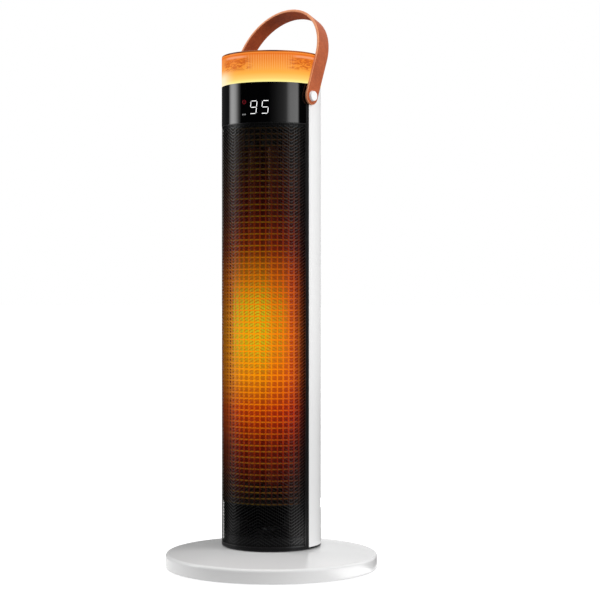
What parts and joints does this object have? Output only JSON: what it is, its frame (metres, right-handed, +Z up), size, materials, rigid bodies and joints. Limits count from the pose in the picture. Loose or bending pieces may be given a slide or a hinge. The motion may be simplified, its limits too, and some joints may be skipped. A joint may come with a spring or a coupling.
{
  "type": "tower space heater",
  "caption": "Oscillating infrared tower heater on a round base: mesh front, glossy display panel, amber light ring and a leather carrying strap.",
  "frame": {"origin": "centre of the round base on the floor, under the column's axis", "axes": "+Z up along the column, front with the mesh towards -Y, strap pivots along X"},
  "size_m": [0.2292, 0.2292, 0.6106],
  "materials": {
    "white_gloss_plastic": "gloss",
    "black_gloss_panel": "gloss",
    "black_plastic": "satin",
    "black_mesh": "satin powder coat",
    "steel": "zinc plated",
    "cast_iron": "rough",
    "black_rubber": "matte",
    "brass": "plain",
    "acetal": "smooth",
    "polished_reflector": "polished",
    "guard_wire": "bright",
    "quartz_glass": "clear",
    "glowing_filament": "glowing",
    "ceramic": "unglazed",
    "circuit_board": "solder mask",
    "component_black": "moulded",
    "amber_diffuser": "translucent",
    "white_reflector": "matte",
    "led_lens": "lit",
    "tan_leather": "smooth",
    "white_stud": "gloss"
  },
  "bodies": {
    "base": {"base_cover": "white_gloss_plastic", "base_plate": "steel", "base_weight": "cast_iron", "base_feet": "black_rubber", "base_screws": "steel", "cord_gland": "black_rubber", "swivel_hub": "steel", "hub_screws": "steel", "swivel_gear": "acetal", "thrust_washer": "acetal", "swivel_retainer": "steel", "swivel_circlip": "steel"},
    "tower": {"tower_foot": "black_plastic", "foot_bush": "brass", "oscillation_motor": "steel", "motor_screws": "steel", "tip_over_switch": "component_black", "rear_casing": "white_gloss_plastic", "casing_screws": "steel", "front_frame": "black_plastic", "front_grille": "black_mesh", "display_panel": "black_gloss_panel", "display_board": "circuit_board", "display_module": "component_black", "lower_tube_bracket": "steel", "upper_tube_bracket": "steel", "element_guard": "guard_wire", "reflector": "polished_reflector", "heating_tubes": "quartz_glass", "heating_filaments": "glowing_filament", "tube_end_caps": "ceramic", "thermal_cutout": "component_black", "power_board": "circuit_board", "board_screws": "steel", "power_board_parts": "component_black", "head_deck": "black_plastic", "led_ring_board": "circuit_board", "led_chips": "led_lens", "light_core": "white_reflector", "light_ring": "amber_diffuser", "top_cover": "black_gloss_panel", "touch_board": "circuit_board", "handle_studs": "white_stud", "handle_washers": "acetal", "stud_nuts": "steel", "power_switch_housing": "component_black"},
    "pinion": {"drive_pinion": "acetal", "motor_shaft": "steel"},
    "handle": {"handle_strap": "tan_leather"},
    "rocker": {"power_rocker": "component_black"}
  },
  "joints": [
    {"name": "oscillation", "type": "hinge", "parent": "base", "child": "tower", "pos_m": [0, 0, 0.033], "axis": [0, 0, 1], "range_deg": [-35, 35]},
    {"name": "pinion_spin", "type": "hinge", "parent": "tower", "child": "pinion", "pos_m": [0, 0.028, 0.029], "axis": [0, 0, 1], "range_deg": [-88, 88]},
    {"name": "handle_swing", "type": "hinge", "parent": "tower", "child": "handle", "pos_m": [0, 0, 0.5079], "axis": [1, 0, 0], "range_deg": [-119, 160.5]},
    {"name": "rocker_tilt", "type": "hinge", "parent": "tower", "child": "rocker", "pos_m": [0.03823, 0.03129, 0.0705], "axis": [0, 0, 1], "range_deg": [-14, 0]}
  ],
  "couplings": [
    {"joint": "pinion_spin", "follows": "oscillation", "ratio": 2.5}
  ]
}
